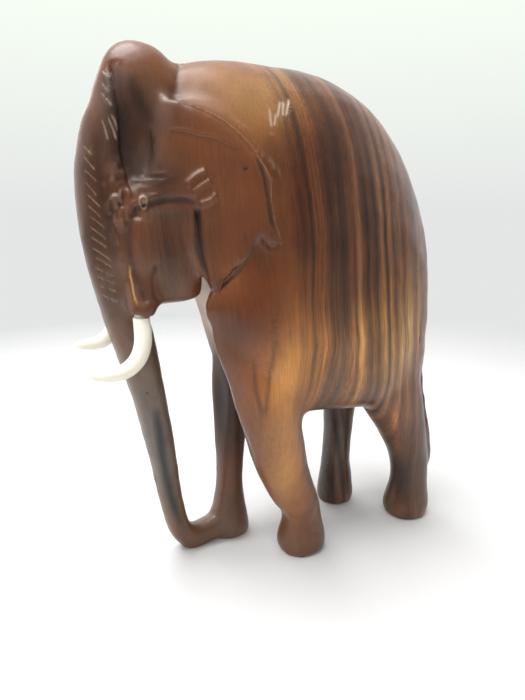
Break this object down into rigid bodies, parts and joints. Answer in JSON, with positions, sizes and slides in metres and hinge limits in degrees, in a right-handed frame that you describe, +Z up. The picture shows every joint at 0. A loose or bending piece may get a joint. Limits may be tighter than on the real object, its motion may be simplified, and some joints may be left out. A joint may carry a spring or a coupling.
{
  "type": "elephant figurine",
  "caption": "Standing elephant carved from solid dark striped hardwood, ears flat to the shoulders, trunk down to a front foot, with glued-in pale tusks.",
  "frame": {"origin": "middle of the bounding box, on the floor the soles stand on", "axes": "+Z up; the elephant looks along -Y; +X is its left side"},
  "size_m": [0.1122, 0.2804, 0.341],
  "materials": {
    "hardwood": "waxed semi-gloss, dark brown and orange stripes",
    "tusk": "polished cream, bone-like"
  },
  "bodies": {
    "root": {"carved_body": "hardwood", "tusk_left": "tusk", "tusk_right": "tusk"}
  },
  "joints": []
}
